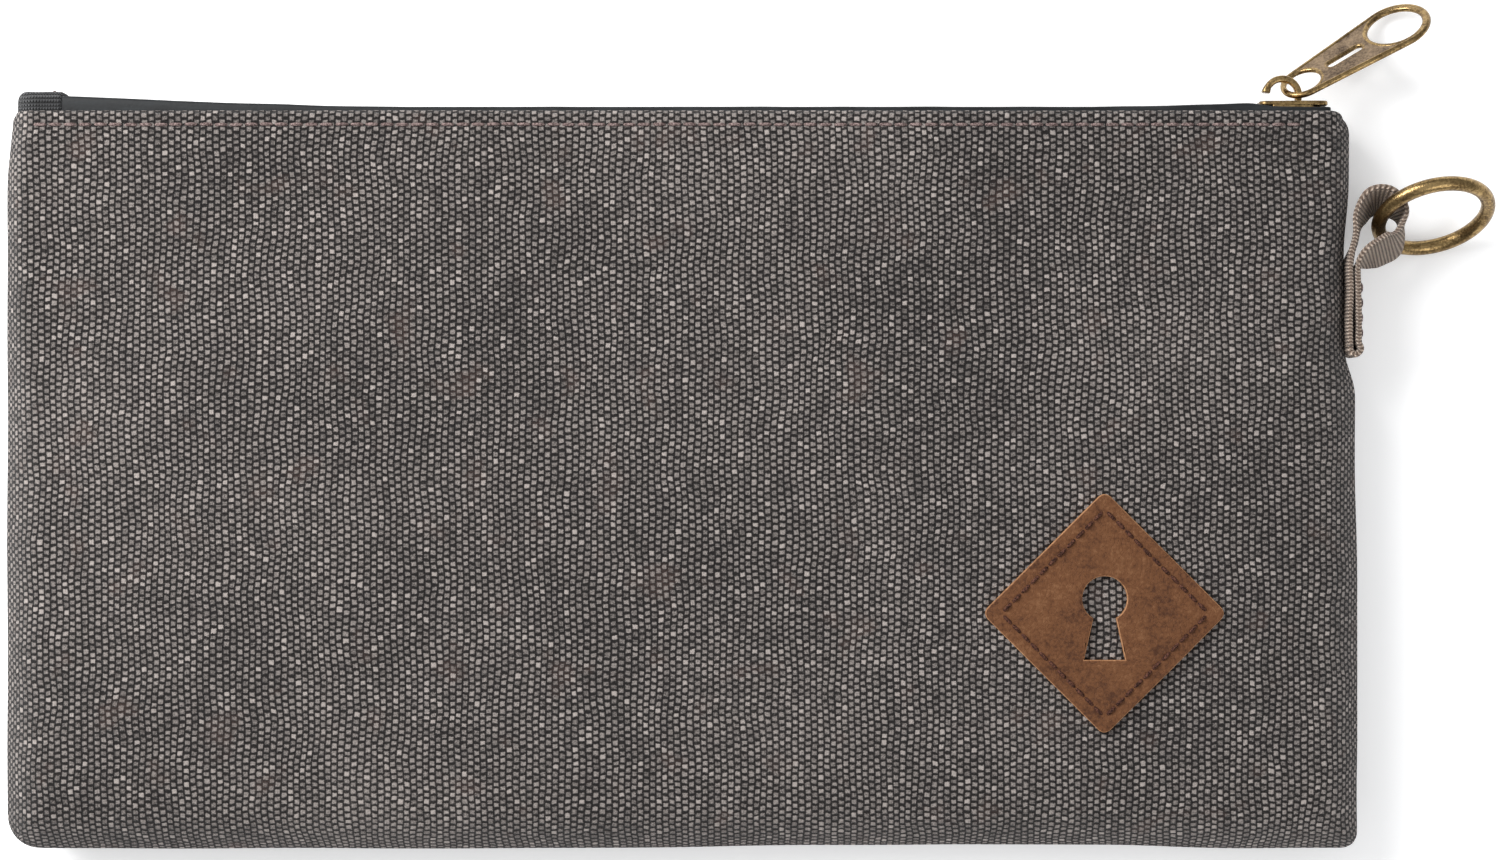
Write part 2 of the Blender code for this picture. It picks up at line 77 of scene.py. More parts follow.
PANEL_LOW, PANEL_HIGH = node_box("front_panel")
LEFT, BOTTOM, MOUTH = PANEL_LOW.x, PANEL_LOW.y, PANEL_HIGH.y
WIDTH, HEIGHT = PANEL_HIGH.x - LEFT, MOUTH - BOTTOM
TOP = PANEL_HIGH.z
ZIP_Z = TOP / 2
TAPE_LOW, TAPE_HIGH = node_box("zipper_tape_front")
COIL_LOW, COIL_HIGH = node_box("zipper_coil_front")
SLIDER_LOW, SLIDER_HIGH = node_box("slider_body")
TAB_HIGH = node_box("zipper_end_tab")[1]
PATCH_LOW, PATCH_HIGH = node_box("leather_patch")
PULLER_AXIS = Vector(joint("puller_swing")["pos_m"]) / MM
RING_PIVOT = Vector(joint("ring_swing")["pos_m"]) / MM
RING_TANGENT = Vector(joint("ring_swing")["axis"]).normalized()

# The soft shell's own dimensions

CANVAS = 1.2
LINING = 0.5
TAPE = 0.5
MOUTH_HALF = 6.9
WARP = 1.32  # spacing of the canvas's upright threads
WEFT = 0.72
HEM_STITCH = 3.0


# Small helpers


def smooth(share):
    share = min(max(share, 0.0), 1.0)
    return share * share * (3 - 2 * share)


def wander(x, y, scale, seed):
    """Smooth noise between about -1 and 1 over a plane."""
    return noise.noise(Vector((x / scale, y / scale, seed)))


def new_object(name, mesh, finish):
    obj = bpy.data.objects.new(name, mesh)
    bpy.context.scene.collection.objects.link(obj)
    for made in finish if isinstance(finish, (list, tuple)) else (finish,):
        obj.data.materials.append(made)
    return obj


def mesh_from(bm, name):
    """A smooth mesh in metres from a shape drawn in millimetres."""
    mesh = bpy.data.meshes.new(name)
    bm.to_mesh(mesh)
    bm.free()
    mesh.transform(Matrix.Scale(MM, 4))
    mesh.shade_smooth()
    return mesh


def solid_from(bm, name):
    """A mesh from a closed shape, with its faces turned outward."""
    bmesh.ops.recalc_face_normals(bm, faces=bm.faces)
    return mesh_from(bm, name)


def soften(obj, width):
    bevel = obj.modifiers.new("Soft edges", "BEVEL")
    bevel.width = width * MM
    bevel.segments = 3
    bevel.limit_method = "ANGLE"
    bevel.angle_limit = math.radians(35)


def thicken(obj, thickness, offset=-1.0):
    solidify = obj.modifiers.new("Thickness", "SOLIDIFY")
    solidify.thickness = thickness * MM
    solidify.offset = offset


def subdivide(obj, levels=1):
    surface = obj.modifiers.new("Smooth", "SUBSURF")
    surface.levels = levels
    surface.render_levels = levels


def add_block(bm, middle, size, rounding):
    """Adds a box with rounded edges to a shape."""
    place = Matrix.Translation(middle) @ Matrix.Diagonal((*size, 1.0))
    made = bmesh.ops.create_cube(bm, size=1.0, matrix=place)
    edges = dict.fromkeys(edge for vert in made["verts"] for edge in vert.link_edges)
    bmesh.ops.bevel(bm, geom=list(edges), offset=rounding, segments=3, affect="EDGES", profile=0.5)


def arc(centre, radius, start, end, steps):
    angles = (math.radians(start + (end - start) * i / steps) for i in range(steps + 1))
    return [(centre[0] + radius * math.cos(a), centre[1] + radius * math.sin(a)) for a in angles]


def flow(points, per_span):
    """A smooth closed run through points, by Catmull-Rom."""
    points = [Vector(p) for p in points]
    count = len(points)
    run = []
    for i in range(count):
        a, b, c, d = (points[(i + k) % count] for k in (-1, 0, 1, 2))
        for k in range(per_span):
            t = k / per_span
            bend = (c - a) * t + (2 * a - 5 * b + 4 * c - d) * t**2 + (3 * b - a - 3 * c + d) * t**3
            run.append(0.5 * (2 * b + bend))
    return run


def tube(bm, path, radius, sides, closed=False):
    """A round tube along a list of points, carried without twist."""
    count = len(path)
    normal = None
    rings = []
    for i, point in enumerate(path):
        before = path[(i - 1) % count] if closed else path[max(i - 1, 0)]
        after = path[(i + 1) % count] if closed else path[min(i + 1, count - 1)]
        along = (after - before).normalized()
        if normal is None:
            normal = along.orthogonal().normalized()
        normal = (normal - along * normal.dot(along)).normalized()
        other = along.cross(normal)
        size = radius(i / max(count - 1, 1)) if callable(radius) else radius
        ring = []
        for k in range(sides):
            angle = 2 * math.pi * k / sides
            ring.append(bm.verts.new(point + size * (math.cos(angle) * normal + math.sin(angle) * other)))
        rings.append(ring)
    for low, high in zip(rings, rings[1:]):
        for k in range(sides):
            m = (k + 1) % sides
            bm.faces.new((low[k], low[m], high[m], high[k]))
    if closed:
        last, first = rings[-1], rings[0]
        shift = min(range(sides), key=lambda s: (last[0].co - first[s].co).length)
        for k in range(sides):
            m = (k + 1) % sides
            bm.faces.new((last[k], last[m], first[(m + shift) % sides], first[(k + shift) % sides]))
    else:
        bm.faces.new(rings[0][::-1])
        bm.faces.new(rings[-1])


def set_weave(mesh, values):
    """Each point's place in the flat cloth, in millimetres, for the woven materials."""
    attribute = mesh.attributes.new("weave", "FLOAT_VECTOR", "POINT")
    attribute.data.foreach_set("vector", np.array(values, np.float32).ravel())


# Node materials


class Nodes:
    """A short way to write one material's nodes."""

    def __init__(self, name):
        self.material = bpy.data.materials.new(name)
        self.material.use_nodes = True
        self.tree = self.material.node_tree
        self.shader = self.tree.nodes["Principled BSDF"]

    def put(self, value, socket):
        if isinstance(value, bpy.types.NodeSocket):
            self.tree.links.new(value, socket)
        else:
            socket.default_value = value

    def math(self, operation, a, b=0.0):
        node = self.tree.nodes.new("ShaderNodeMath")
        node.operation = operation
        self.put(a, node.inputs[0])
        self.put(b, node.inputs[1])
        return node.outputs[0]

    def ramp(self, value, low, high, to_low=0.0, to_high=1.0):
        node = self.tree.nodes.new("ShaderNodeMapRange")
        node.interpolation_type = "SMOOTHSTEP"
        for socket, number in zip(node.inputs[:5], (value, low, high, to_low, to_high)):
            self.put(number, socket)
        return node.outputs[0]

    def mix(self, share, a, b):
        node = self.tree.nodes.new("ShaderNodeMix")
        node.data_type = "RGBA"
        self.put(share, node.inputs[0])
        for value, socket in ((a, node.inputs[6]), (b, node.inputs[7])):
            self.put((*value, 1.0) if isinstance(value, tuple) else value, socket)
        return node.outputs[2]

    def place(self):
        return self.tree.nodes.new("ShaderNodeTexCoord").outputs["Object"]

    def weave_place(self):
        node = self.tree.nodes.new("ShaderNodeAttribute")
        node.attribute_name = "weave"
        return node.outputs["Vector"]

    def split(self, vector):
        node = self.tree.nodes.new("ShaderNodeSeparateXYZ")
        self.put(vector, node.inputs[0])
        return node.outputs

    def scaled(self, vector, scale):
        node = self.tree.nodes.new("ShaderNodeMapping")
        self.put(vector, node.inputs["Vector"])
        node.inputs["Scale"].default_value = scale
        return node.outputs[0]

    def noise(self, vector, scale, detail=2.0, rough=0.5):
        node = self.tree.nodes.new("ShaderNodeTexNoise")
        self.put(vector, node.inputs["Vector"])
        node.inputs["Scale"].default_value = scale
        node.inputs["Detail"].default_value = detail
        node.inputs["Roughness"].default_value = rough
        return node.outputs["Fac"]

    def bump(self, height, depth):
        node = self.tree.nodes.new("ShaderNodeBump")
        node.inputs["Strength"].default_value = 1.0
        node.inputs["Distance"].default_value = depth * MM
        self.put(height, node.inputs["Height"])
        self.tree.links.new(node.outputs[0], self.shader.inputs["Normal"])

    def finish(self, colour, roughness, **constants):
        self.put(colour, self.shader.inputs["Base Color"])
        self.put(roughness, self.shader.inputs["Roughness"])
        for name, value in constants.items():
            self.shader.inputs[name.replace("_", " ")].default_value = value
        return self.material


def canvas_material():
    """Plain weave: rows of uneven light thread over gaps painted dark as shade, with painted highlight on
    the thread crowns; heathered and rubbed.
    """
    n = Nodes("canvas")
    flat = n.weave_place()
    u, v, side = n.split(flat)
    drift_u = n.math("MULTIPLY", n.math("SUBTRACT", n.noise(flat, 0.06, 3.0), 0.5), 2.2)
    drift_v = n.math("MULTIPLY", n.math("SUBTRACT", n.noise(flat, 0.5, 3.0), 0.5), 1.5)
    across = n.math("ADD", n.math("DIVIDE", u, WARP), drift_u)
    along = n.math("ADD", n.math("DIVIDE", v, WEFT), drift_v)
    wave_u = n.math("SINE", n.math("MULTIPLY", across, math.pi))
    wave_v = n.math("SINE", n.math("MULTIPLY", along, math.pi))
    column = n.math("SIGN", wave_u)
    float_end = n.ramp(n.math("MULTIPLY", wave_v, column), -0.95, 0.15)
    relief = n.math("MULTIPLY", n.ramp(n.math("ABSOLUTE", wave_u), 0.0, 0.70), float_end)
    row = n.math("FLOOR", n.math("DIVIDE", n.math("ADD", along, n.math("MULTIPLY", column, 0.5)), 2.0))
    cell = n.tree.nodes.new("ShaderNodeCombineXYZ")
    for socket, value in zip(cell.inputs, (n.math("FLOOR", across), row, side)):
        n.put(value, socket)
    shade = n.tree.nodes.new("ShaderNodeTexWhiteNoise")
    shade.noise_dimensions = "3D"
    n.put(cell.outputs[0], shade.inputs["Vector"])
    own = shade.outputs["Value"]
    fibre = n.noise(flat, 3.2, 5.0, 0.75)
    cloud = n.math("SUBTRACT", n.noise(flat, 0.022, 4.0, 0.6), 0.5)
    streak = n.math("SUBTRACT", n.noise(n.scaled(flat, (0.9, 0.05, 1)), 1.0, 3.0, 0.6), 0.5)
    # Painted shade and highlight: colour follows the thread relief, lightest on the crowns and near black
    # in the gaps where shade falls; per-thread tone, fibre, clouds and streaks are the yarn's own
    # heathering.
    light = n.math("MULTIPLY", relief, n.math("ADD", n.math("MULTIPLY", own, 0.24), 0.35))
    light = n.math("ADD", light, n.math("MULTIPLY", n.math("SUBTRACT", fibre, 0.5), 1.35))
    light = n.math("ADD", light, n.math("MULTIPLY", cloud, 0.34))
    light = n.math("ADD", light, n.math("MULTIPLY", streak, 0.28))
    # Painted highlight on the crowns of some threads, picked at random.
    crown_highlight = n.math("MULTIPLY", n.ramp(own, 0.90, 1.0), n.math("MULTIPLY", relief, 0.30))
    light = n.math("ADD", light, crown_highlight)
    # The dark end of this mix is the painted shade in the gaps between threads.
    colour = n.mix(n.ramp(light, 0.02, 0.86), (0.012, 0.0095, 0.009), (0.47, 0.415, 0.385))
    rust = n.ramp(n.noise(flat, 0.10, 3.0), 0.58, 0.74, 0.0, 0.20)
    colour = n.mix(rust, colour, (0.15, 0.085, 0.068))
    n.bump(n.math("ADD", relief, n.math("MULTIPLY", fibre, 0.9)), 0.50)
    return n.finish(colour, 0.92, Sheen_Weight=0.12, Sheen_Roughness=0.5, Specular_IOR_Level=0.2)


def lining_material():
    n = Nodes("lining")
    flat = n.weave_place()
    u, v, _ = n.split(flat)
    ribs = n.math("MULTIPLY", n.math("SINE", n.math("MULTIPLY", n.math("ADD", u, v), 7.0)), 0.5)
    tone = n.noise(flat, 0.2, 3.0)
    colour = n.mix(tone, (0.016, 0.016, 0.018), (0.045, 0.045, 0.05))
    n.bump(n.math("ADD", ribs, n.noise(flat, 2.0)), 0.08)
    return n.finish(colour, 0.55, Sheen_Weight=0.1)


def tape_material():
    """Smooth coated zip tape, with faint scuffs."""
    n = Nodes("zip_tape")
    place = n.place()
    scuff = n.noise(n.scaled(place, (1, 6, 6)), 140.0, 4.0, 0.65)
    colour = n.mix(n.ramp(scuff, 0.4, 0.75), (0.0045, 0.0055, 0.0065), (0.017, 0.020, 0.022))
    n.bump(n.noise(place, 1600.0, 2.0), 0.03)
    return n.finish(colour, n.ramp(scuff, 0.3, 0.7, 0.42, 0.60), Specular_IOR_Level=0.35)


def coil_material():
    n = Nodes("coil")
    tone = n.noise(n.place(), 400.0)
    return n.finish(n.mix(tone, (0.008, 0.008, 0.009), (0.03, 0.03, 0.032)), 0.32)


def webbing_material(name, dark, light, fuzz):
    """Ribbed webbing: columns of slanted threads, with painted shade in the hollows between ribs."""
    n = Nodes(name)
    flat = n.weave_place()
    u, v, _ = n.split(flat)
    column = n.math("SINE", n.math("MULTIPLY", v, 2 * math.pi / 1.15))
    slant = n.math("MULTIPLY", n.math("ABSOLUTE", column), 0.9)
    pick = n.math("ADD", n.math("MULTIPLY", u, 2 * math.pi / 0.72), n.math("MULTIPLY", slant, 2.2))
    pick = n.math("SINE", pick)
    relief = n.math("MULTIPLY", n.math("ADD", pick, 1.0), n.math("ADD", n.math("ABSOLUTE", column), 0.35))
    fibre = n.noise(flat, 3.4, 3.0, 0.65)
    # Painted shade: colour follows the rib relief, darker in the hollows between threads; the fibre noise
    # is the yarn's own tone.
    rib_shade_and_fibre = n.math("ADD", n.math("MULTIPLY", relief, 0.36), n.math("MULTIPLY", fibre, fuzz))
    colour = n.mix(n.ramp(rib_shade_and_fibre, 0.2, 1.1), dark, light)
    stain = n.noise(flat, 0.3, 3.0)
    colour = n.mix(n.ramp(stain, 0.45, 0.8, 0.0, 0.35), colour, dark)
    n.bump(n.math("ADD", relief, fibre), 0.32)
    return n.finish(colour, 0.9, Sheen_Weight=0.2, Specular_IOR_Level=0.2)


def leather_material(name, dark, middle, light):
    """Waxed leather, mottled and finely grained."""
    n = Nodes(name)
    place = n.place()
    blotch = n.noise(place, 105.0, 5.0, 0.62)
    grain = n.noise(place, 1500.0, 3.0, 0.6)
    speck = n.noise(place, 620.0, 4.0, 0.7)
    tone = n.math("ADD", n.math("MULTIPLY", blotch, 0.45), n.math("MULTIPLY", speck, 0.34))
    tone = n.math("ADD", tone, n.math("MULTIPLY", grain, 0.36))
    colour = n.mix(n.ramp(tone, 0.42, 0.60), dark, middle)
    colour = n.mix(n.ramp(tone, 0.58, 0.74, 0.0, 0.8), colour, light)
    pore = n.tree.nodes.new("ShaderNodeTexVoronoi")
    pore.feature = "DISTANCE_TO_EDGE"
    pore.inputs["Scale"].default_value = 1100.0
    n.put(place, pore.inputs["Vector"])
    cracks = n.ramp(pore.outputs["Distance"], 0.0, 0.12)
    height = n.math("ADD", n.math("MULTIPLY", cracks, 0.5), n.math("ADD", grain, blotch))
    n.bump(height, 0.10)
    return n.finish(colour, n.ramp(blotch, 0.3, 0.7, 0.60, 0.78), Specular_IOR_Level=0.18)


def brass_material(name, dark, light, rough):
    """Antique brass: a dark patina left in the low, matt specks."""
    n = Nodes(name)
    place = n.place()
    speck = n.noise(place, 1900.0, 3.0, 0.7)
    cloud = n.noise(place, 230.0, 4.0, 0.6)
    share = n.math("ADD", n.math("MULTIPLY", speck, 0.55), n.math("MULTIPLY", cloud, 0.5))
    colour = n.mix(n.ramp(share, 0.34, 0.68), dark, light)
    n.bump(n.math("ADD", speck, cloud), 0.05)
    return n.finish(colour, n.ramp(share, 0.3, 0.7, rough + 0.16, rough - 0.06), Metallic=1.0)


def thread_material(name, dark, light):
    n = Nodes(name)
    place = n.place()
    twist = n.noise(place, 2600.0, 2.0, 0.7)
    colour = n.mix(n.ramp(twist, 0.35, 0.7), dark, light)
    n.bump(twist, 0.08)
    return n.finish(colour, 0.8, Specular_IOR_Level=0.15)


CANVAS_CLOTH = canvas_material()
LINING_CLOTH = lining_material()
TAPE_CLOTH = tape_material()
COIL_NYLON = coil_material()
TAN_WEBBING = webbing_material("tan_webbing", (0.12, 0.078, 0.055), (0.86, 0.69, 0.56), 0.55)
BLACK_WEBBING = webbing_material("black_webbing", (0.001, 0.001, 0.0015), (0.052, 0.054, 0.058), 0.4)
LEATHER = leather_material(
    "leather", (0.062, 0.023, 0.010), (0.136, 0.055, 0.022), (0.220, 0.104, 0.048)
)
LEATHER_EDGE = leather_material(
    "leather_edge", (0.20, 0.090, 0.040), (0.40, 0.20, 0.095), (0.52, 0.29, 0.15)
)
BRASS = brass_material("brass_face", (0.070, 0.046, 0.032), (0.300, 0.215, 0.135), 0.40)
BRASS_RUBBED = brass_material("brass_rubbed", (0.070, 0.040, 0.016), (0.430, 0.295, 0.130), 0.24)
BROWN_THREAD = thread_material("brown_thread", (0.016, 0.006, 0.004), (0.15, 0.062, 0.040))
GREY_THREAD = thread_material("grey_thread", (0.070, 0.046, 0.043), (0.340, 0.255, 0.240))


# The sewn shell


def roll(distance, reach):
    """How far a face has risen at a distance from its seam."""
    return 1 - (1 - min(max(distance / reach, 0.0), 1.0)) ** 2.4


CORNERS = ((0, 0, 7.0), (1, 0, 3.6), (1, 1, 4.6), (0, 1, 2.0))  # right, top, radius


def plan(across, up):
    """Where a point of the square-cornered panel lies once corners and edges are worn to shape."""
    x, y = across, up
    for right, top, radius in CORNERS:
        dx = WIDTH - x if right else x
        dy = HEIGHT - y if top else y
        if dx < radius and dy < radius:
            a, b = radius - dx, radius - dy
            scale = max(a, b) / math.hypot(a, b) if a or b else 1.0
            dx, dy = radius - a * scale, radius - b * scale
            x = WIDTH - dx if right else dx
            y = HEIGHT - dy if top else dy
    px, py = LEFT + x, BOTTOM + y
    near_left = 1 - smooth(x / 50)
    near_right = 1 - smooth((WIDTH - x) / 50)
    near_bottom = 1 - smooth(y / 40)
    upper = smooth((py - 60) / 18)
    px += near_left * (1.3 * upper + 0.25 * wander(0, py, 26, 3.1))
    hanger_dip = smooth((py - 18) / 9) * (1 - 0.45 * smooth((py - 47) / 14))
    px -= near_right * (0.5 * smooth((py + 25) / 30) + 2.2 * hanger_dip)
    px += near_right * 0.2 * wander(0, py, 17, 8.4)
    py += near_bottom * (0.8 * smooth((px + 25) / 60) * (1 - smooth((px - 88) / 30)))
    py += near_bottom * 0.22 * wander(px, 0, 30, 5.5)
    return px, py


def pillow(across, up, front):
    """The height of a face above the seams' level."""
    side = min(across, WIDTH - across)
    edge = min(side, up)
    x, y = LEFT + across, BOTTOM + up
    if front:
        belly = TOP / 2 * (0.64 * roll(edge, 9.0) + 0.36 * (1 - (1 - min(edge / 62, 1.0)) ** 2))
    else:
        belly = TOP / 2 * (0.86 * roll(edge, 13.0) + 0.14 * roll(edge, 34.0))
    hem = MOUTH_HALF * roll(side, 6.0)
    share = smooth((y + 4) / (MOUTH - 8))
    height = belly + (hem - belly) * share
    loose = smooth(edge / 14) * (1.0 if front else 0.35 * share)
    height += loose * (0.55 * wander(x, y, 42, 1.7) + 0.26 * wander(x, y * 1.3, 17, 6.2))
    pucker = math.exp(-edge / 5) * smooth(edge / 1.2)
    height += pucker * 0.35 * wander(x, y, 5.5, 2.9)
    from_mouth = HEIGHT - up
    height -= 0.9 * (1 - min(from_mouth / 1.1, 1.0)) ** 2
    height -= 0.32 * math.exp(-(((from_mouth - HEM_STITCH) / 0.5) ** 2))
    return min(height, TOP / 2 - 0.02)


def steps(total, near, middle, far):
    """Distances along a panel: close together at its ends and wider in its middle."""
    start, end = list(near), [total - d for d in far][::-1]
    count = max(int((end[0] - start[-1]) / middle), 1)
    between = [start[-1] + (end[0] - start[-1]) * i / count for i in range(1, count)]
    return start + between + end


ROLL_STEPS = (0, 0.35, 0.8, 1.3, 1.9, 2.6, 3.4, 4.4, 5.6, 7.2, 9.0)
HEM_STEPS = (0, 0.12, 0.35, 0.7, 1.1, 1.7, 2.2, 2.6, 2.8, 3.0, 3.2, 3.4, 3.8, 4.6, 6.0, 7.6, 9.4)


def open_with_mouth(obj):
    """Bakes a front piece's place into its mesh and leaves it unattached to the bag."""
    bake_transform(obj)
    return obj


def hold(obj, front):
    """Fixes a piece to the bag, or bakes its place into its mesh if it is on the front."""
    if front:
        open_with_mouth(obj)
    else:
        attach(obj, "bag")


def mouth_half(x):
    """Half the shell's outer thickness along the mouth, pinched by the side seams."""
    return MOUTH_HALF * roll(min(x - LEFT - 1.3, LEFT + WIDTH - 1.7 - x), 6.0)


def cloth_half(name, front, finish, inset=0.0, drop=0.0, lower=0.0):
    """One half of the shell, or of the lining inside it, as a grid draped over the bag's form."""
    columns = steps(WIDTH - 2 * inset, ROLL_STEPS, 2.0, ROLL_STEPS)
    rows = steps(HEIGHT - inset - lower, ROLL_STEPS, 2.0, HEM_STEPS)
    side = 1 if front else -1
    bm = bmesh.new()
    grid = []
    for row in rows:
        line = []
        for column in columns:
            across, up = column + inset, row + inset
            x, y = plan(across, up)
            height = max(pillow(across, up, front) - drop, 0.0)
            line.append(bm.verts.new((x, y, ZIP_Z + side * height)))
        grid.append(line)
    for low, high in zip(grid, grid[1:]):
        for k in range(len(low) - 1):
            corners = (low[k], low[k + 1], high[k + 1], high[k])
            bm.faces.new(corners if front else corners[::-1])
    places = np.array([[vert.co[:] for vert in line] for line in grid])
    run_x = np.zeros(places.shape[:2])
    run_x[:, 1:] = np.cumsum(np.linalg.norm(np.diff(places, axis=1), axis=2), axis=1)
    run_x -= run_x[:, [len(columns) // 2]]
    run_y = np.zeros(places.shape[:2])
    run_y[1:, :] = np.cumsum(np.linalg.norm(np.diff(places, axis=0), axis=2), axis=0)
    run_y -= run_y[[len(rows) // 2], :]
    flat = np.stack([run_x, run_y, np.full(run_x.shape, 40.0 * side)], axis=2)
    mesh = mesh_from(bm, name)
    set_weave(mesh, flat.reshape(-1, 3))
    cut = (float(np.ptp(run_x, axis=1).max()) * MM, float(np.ptp(run_y, axis=0).max()) * MM)
    area = min(sum(face.area for face in mesh.polygons), cut[0] * cut[1])
    return new_object(name, mesh, finish), cut, area


def add_shell():
    """Canvas and lining, front and back, each with its modelled surface's size and area."""
    made = []
    for label, front in (("front", True), ("back", False)):
        body, *cut = cloth_half(f"{label}_canvas", front, CANVAS_CLOTH)
        made.append((body, *cut, "back_lining_cloth" if front else "front_canvas"))
        lining, *cut = cloth_half(
            f"{label}_lining_cloth", front, LINING_CLOTH, inset=2.6, drop=2.6, lower=4.4
        )
        made.append((lining, *cut, f"{label}_canvas"))
        thicken(body, CANVAS)
        thicken(lining, LINING)
        subdivide(body)
        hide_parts(f"{label}_panel")
        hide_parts(f"{label}_lining")
        hold(body, front)
        hold(lining, front)
    return made


# Stitches


def stitches(name, spots, length, radius, finish):
    """Separate stitches: each a short thread that dips into the cloth at both ends."""
    bm = bmesh.new()
    for middle, along, out in spots:
        path = []
        for k in range(7):
            share = k / 6 * 2 - 1
            sink = 0.75 * radius * (1.0 - 2.6 * abs(share) ** 3)
            path.append(middle + along * (share * length / 2) + out * sink)
        tube(bm, path, lambda t: radius * (1.0 - 0.35 * abs(2 * t - 1) ** 3), sides=8)
    return new_object(name, solid_from(bm, name), finish)


def surface_spot(x, y, lift, turn, front=True):
    """A stitch's place on the cloth at a point, with its direction in the plan."""
    side = 1 if front else -1

    def height(px, py):
        across, up = px - LEFT, py - BOTTOM
        return ZIP_Z + side * (pillow(across, up, front) + lift)

    along = Vector((math.cos(turn), math.sin(turn), 0))
    low = Vector((x, y, height(x, y)))
    ahead = Vector((x + along.x * 0.5, y + along.y * 0.5, height(x + along.x * 0.5, y + along.y * 0.5)))
    return low, (ahead - low).normalized(), Vector((0, 0, side))


def add_hem_stitches():
    y = MOUTH - HEM_STITCH
    pitch = 3.1
    count = int((WIDTH - 16) / pitch)
    for label, front in (("front", True), ("back", False)):
        spots = []
        for i in range(count):
            x = LEFT + 8 + i * pitch + 0.15 * wander(i, 0, 0.7, 2.2)
            if x <= LEFT + WIDTH - 10:
                spots.append(surface_spot(x, y + 0.12 * wander(i, 0, 2.3, 5.2), 0.10, 0.0, front))
        thread = stitches(f"hem_stitches_{label}", spots, 2.7, 0.36, GREY_THREAD)
        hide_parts(f"hem_thread_{label}")
        hold(thread, front)


# The zip


def tape_rise(x):
    """How far the tape's shoulder curls up beside the hem: most at its left end."""
    left = min(max((LEFT + 78.0 - x) / 64.0, 0.0), 1.0)
    right = min(max((x - 75.0) / 45.0, 0.0), 1.0) * (1 - smooth((x - 116.0) / 8.0))
    return 2.3 * left**1.3 + 1.0 * right**2 + 0.12 * wander(x, 0, 11, 4.4)


def add_tapes():
    """Coated tape over the mouth: a leg behind the hem, a curled shoulder and a flat top."""
    top = TAPE_HIGH.y
    stations = steps(TAPE_HIGH.x - TAPE_LOW.x, (0, 0.8, 2.0), 1.6, (0, 0.8, 2.0))
    for label, side in (("front", 1), ("back", -1)):
        bm = bmesh.new()
        grid = []
        for distance in stations:
            x = TAPE_LOW.x + distance
            outer = max(min(TAPE_HIGH.z - ZIP_Z, mouth_half(x) - 1.35), 3.2)
            rise = max(tape_rise(x), 0.0) * (1.0 if side > 0 else 0.5)
            section = [(outer, TAPE_LOW.y), (outer, top - 4.5), (outer, top - 1.6)]
            section += [(outer - 0.02, top - 0.6 + rise * 0.7), (outer - 0.25, top - 0.1 + rise)]
            section += [(outer - 0.62, top - 0.02 + rise * 0.96), (outer - 0.95, top + rise * 0.45)]
            section += [(outer - 1.35, top), (outer - 2.0, top), (1.0, top), (0.15, top)]
            grid.append([bm.verts.new((x, y, ZIP_Z + side * z)) for z, y in section])
        for near, far in zip(grid, grid[1:]):
            for k in range(len(near) - 1):
                corners = (near[k], near[k + 1], far[k + 1], far[k])
                bm.faces.new(corners[::-1] if side > 0 else corners)
        tape = new_object(f"{label}_zip_tape", mesh_from(bm, f"{label}_tape"), TAPE_CLOTH)
        thicken(tape, TAPE)
        subdivide(tape)
        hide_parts(f"zipper_tape_{label}")
        hold(tape, side > 0)


def add_coils():
    """Nylon monofilament wound flat, each coil's turns lying between the other's."""
    centre_y = (COIL_LOW.y + COIL_HIGH.y) / 2
    tall = (COIL_HIGH.y - COIL_LOW.y) / 2 - 0.42
    pitch = 2.5
    per_turn = 12
    filament = 0.40
    count = int((COIL_HIGH.x - COIL_LOW.x - 2.0) / pitch) * per_turn
    for label, side, shift in (("front", 1, 0.0), ("back", -1, pitch / 2)):
        path = []
        for i in range(count):
            angle = 2 * math.pi * i / per_turn
            x = COIL_LOW.x + 0.6 + shift + pitch * i / per_turn
            z = side * (1.05 + 1.55 * math.cos(angle))
            path.append(Vector((x, centre_y + tall * math.sin(angle), ZIP_Z + z)))
        bm = bmesh.new()
        tube(bm, path, filament, sides=6)
        coil = new_object(f"{label}_zip_coil", solid_from(bm, f"{label}_coil"), COIL_NYLON)
        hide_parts(f"zipper_coil_{label}")
        hold(coil, side > 0)


def add_stops():
    """The crimped metal stops at both ends of the chain."""
    for node, name in (
        ("zipper_top_stop_front", "front_top_stop"),
        ("zipper_top_stop_back", "back_top_stop"),
        ("zipper_bottom_stop", "bottom_stop"),
    ):
        low, high = node_box(node)
        bm = bmesh.new()
        add_block(bm, (low + high) / 2, high - low, min(high - low) * 0.3)
        stop = new_object(name, solid_from(bm, name), BRASS)
        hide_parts(node)
        hold(stop, node.endswith("front"))


